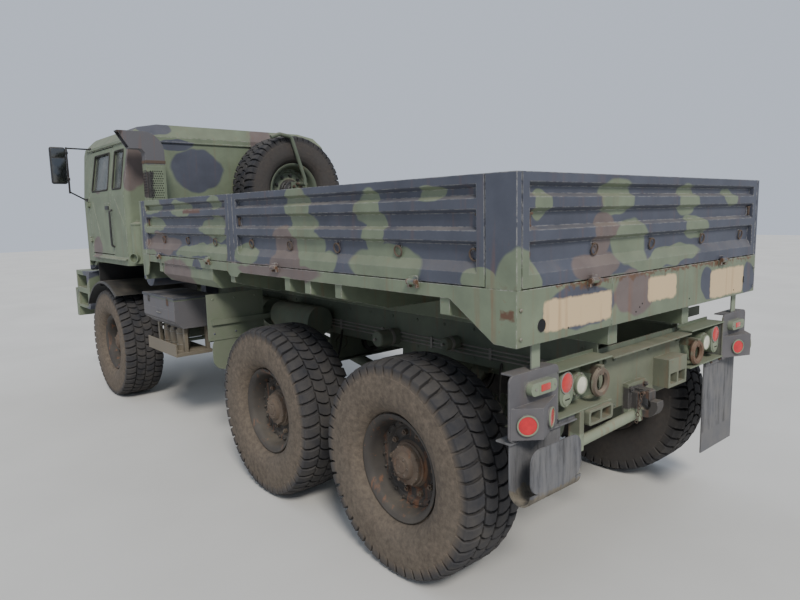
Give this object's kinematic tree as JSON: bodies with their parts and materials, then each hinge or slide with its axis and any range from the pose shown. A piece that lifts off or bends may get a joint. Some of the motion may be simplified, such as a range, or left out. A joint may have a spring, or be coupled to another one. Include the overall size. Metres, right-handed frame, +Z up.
{
  "type": "military cargo truck",
  "caption": "Unarmed military cargo truck with tilting cab, hinged doors, drop sides and tailgate, steered front wheels and an upright spare wheel.",
  "frame": {"origin": "on the ground under the middle of the whole box", "axes": "+X to the truck's right, +Y forwards, +Z up"},
  "size_m": [3.06, 6.96, 2.84],
  "materials": {
    "tyre_rubber": "worn, dusty sidewalls",
    "wheel_paint": "faded camouflage green with dust",
    "chassis_paint": "dull dark paint with rust and dirt",
    "bed_paint": "faded three-colour camouflage",
    "floor_boards": "weathered boards",
    "cab_paint": "faded three-colour camouflage",
    "window_glass": "clear, slightly dusty",
    "seat_cloth": "dull woven cloth",
    "dark_plastic": "matt black",
    "flap_rubber": "grey dusty rubber",
    "lamp_lens": "red and clear lenses",
    "exhaust_steel": "heat-stained paint and rust"
  },
  "bodies": {
    "chassis": {"frame_rails": "chassis_paint", "rear_axles": "chassis_paint", "front_axle": "chassis_paint", "leaf_springs": "chassis_paint", "engine_and_driveline": "chassis_paint", "bed_frame": "bed_paint", "bed_floor": "floor_boards", "bed_uprights": "bed_paint", "bumper": "cab_paint", "side_boxes": "chassis_paint", "tanks": "chassis_paint", "mud_flaps": "flap_rubber", "lamps": "lamp_lens", "tow_hitch": "chassis_paint", "exhaust_stack": "exhaust_steel", "tyre_spare": "tyre_rubber", "wheel_spare": "wheel_paint", "spare_carrier": "chassis_paint"},
    "cab": {"cab_roof": "cab_paint", "cab_floor": "cab_paint", "cab_back": "cab_paint", "cab_front": "cab_paint", "cab_side_left": "cab_paint", "cab_side_right": "cab_paint", "cab_glass": "window_glass", "seats": "seat_cloth", "dashboard": "dark_plastic", "mirrors": "dark_plastic"},
    "left_door": {"door_left": "cab_paint", "door_glass_left": "window_glass"},
    "right_door": {"door_right": "cab_paint", "door_glass_right": "window_glass"},
    "left_knuckle": {"knuckle_left": "chassis_paint"},
    "right_knuckle": {"knuckle_right": "chassis_paint"},
    "tie_rod": {"tie_rod": "chassis_paint"},
    "tailgate": {"tailgate": "bed_paint"},
    "rear_left_dropside": {"dropside_rear_left": "bed_paint"},
    "rear_right_dropside": {"dropside_rear_right": "bed_paint"},
    "front_left_dropside": {"dropside_front_left": "bed_paint"},
    "front_right_dropside": {"dropside_front_right": "bed_paint"},
    "front_left_wheel": {"tyre_front_left": "tyre_rubber", "wheel_front_left": "wheel_paint"},
    "front_right_wheel": {"tyre_front_right": "tyre_rubber", "wheel_front_right": "wheel_paint"},
    "mid_left_wheel": {"tyre_mid_left": "tyre_rubber", "wheel_mid_left": "wheel_paint"},
    "mid_right_wheel": {"tyre_mid_right": "tyre_rubber", "wheel_mid_right": "wheel_paint"},
    "rear_left_wheel": {"tyre_rear_left": "tyre_rubber", "wheel_rear_left": "wheel_paint"},
    "rear_right_wheel": {"tyre_rear_right": "tyre_rubber", "wheel_rear_right": "wheel_paint"}
  },
  "joints": [
    {"name": "steer_left", "type": "hinge", "parent": "chassis", "child": "left_knuckle", "pos_m": [-0.846, 2.18, 0.585], "axis": [0, 0, 1], "range_deg": [-30, 30]},
    {"name": "steer_right", "type": "hinge", "parent": "chassis", "child": "right_knuckle", "pos_m": [0.846, 2.18, 0.585], "axis": [0, 0, 1], "range_deg": [-30, 30]},
    {"name": "front_left_wheel_spin", "type": "hinge", "parent": "left_knuckle", "child": "front_left_wheel", "pos_m": [-1.021, 2.18, 0.585], "axis": [1, 0, 0], "continuous": true},
    {"name": "front_right_wheel_spin", "type": "hinge", "parent": "right_knuckle", "child": "front_right_wheel", "pos_m": [1.021, 2.18, 0.585], "axis": [1, 0, 0], "continuous": true},
    {"name": "mid_left_wheel_spin", "type": "hinge", "parent": "chassis", "child": "mid_left_wheel", "pos_m": [-1.021, -1.21, 0.585], "axis": [1, 0, 0], "continuous": true},
    {"name": "mid_right_wheel_spin", "type": "hinge", "parent": "chassis", "child": "mid_right_wheel", "pos_m": [1.021, -1.21, 0.585], "axis": [1, 0, 0], "continuous": true},
    {"name": "rear_left_wheel_spin", "type": "hinge", "parent": "chassis", "child": "rear_left_wheel", "pos_m": [-1.021, -2.58, 0.585], "axis": [1, 0, 0], "continuous": true},
    {"name": "rear_right_wheel_spin", "type": "hinge", "parent": "chassis", "child": "rear_right_wheel", "pos_m": [1.021, -2.58, 0.585], "axis": [1, 0, 0], "continuous": true},
    {"name": "tie_rod_pivot", "type": "hinge", "parent": "left_knuckle", "child": "tie_rod", "pos_m": [-0.846, 1.955, 0.52], "axis": [0, 0, 1], "range_deg": [-30, 30]},
    {"name": "left_door_hinge", "type": "hinge", "parent": "cab", "child": "left_door", "pos_m": [-1.21, 2.55, 1.89], "axis": [0, 0, -1], "range_deg": [0, 70]},
    {"name": "right_door_hinge", "type": "hinge", "parent": "cab", "child": "right_door", "pos_m": [1.21, 2.55, 1.89], "axis": [0, 0, 1], "range_deg": [0, 70]},
    {"name": "cab_tilt", "type": "hinge", "parent": "chassis", "child": "cab", "pos_m": [0, 3.09, 1.3], "axis": [-1, 0, 0], "range_deg": [0, 50]},
    {"name": "rear_left_dropside_hinge", "type": "hinge", "parent": "chassis", "child": "rear_left_dropside", "pos_m": [-1.239, -2.1695, 1.6], "axis": [0, -1, 0], "range_deg": [0, 180]},
    {"name": "rear_right_dropside_hinge", "type": "hinge", "parent": "chassis", "child": "rear_right_dropside", "pos_m": [1.239, -2.1695, 1.6], "axis": [0, 1, 0], "range_deg": [0, 180]},
    {"name": "front_left_dropside_hinge", "type": "hinge", "parent": "chassis", "child": "front_left_dropside", "pos_m": [-1.239, -0.0415, 1.6], "axis": [0, -1, 0], "range_deg": [0, 180]},
    {"name": "front_right_dropside_hinge", "type": "hinge", "parent": "chassis", "child": "front_right_dropside", "pos_m": [1.239, -0.0415, 1.6], "axis": [0, 1, 0], "range_deg": [0, 180]},
    {"name": "tailgate_hinge", "type": "hinge", "parent": "chassis", "child": "tailgate", "pos_m": [0, -3.44, 1.6], "axis": [1, 0, 0], "range_deg": [0, 180]}
  ],
  "couplings": [
    {"joint": "steer_right", "follows": "steer_left", "ratio": 1},
    {"joint": "tie_rod_pivot", "follows": "steer_left", "ratio": -1}
  ]
}
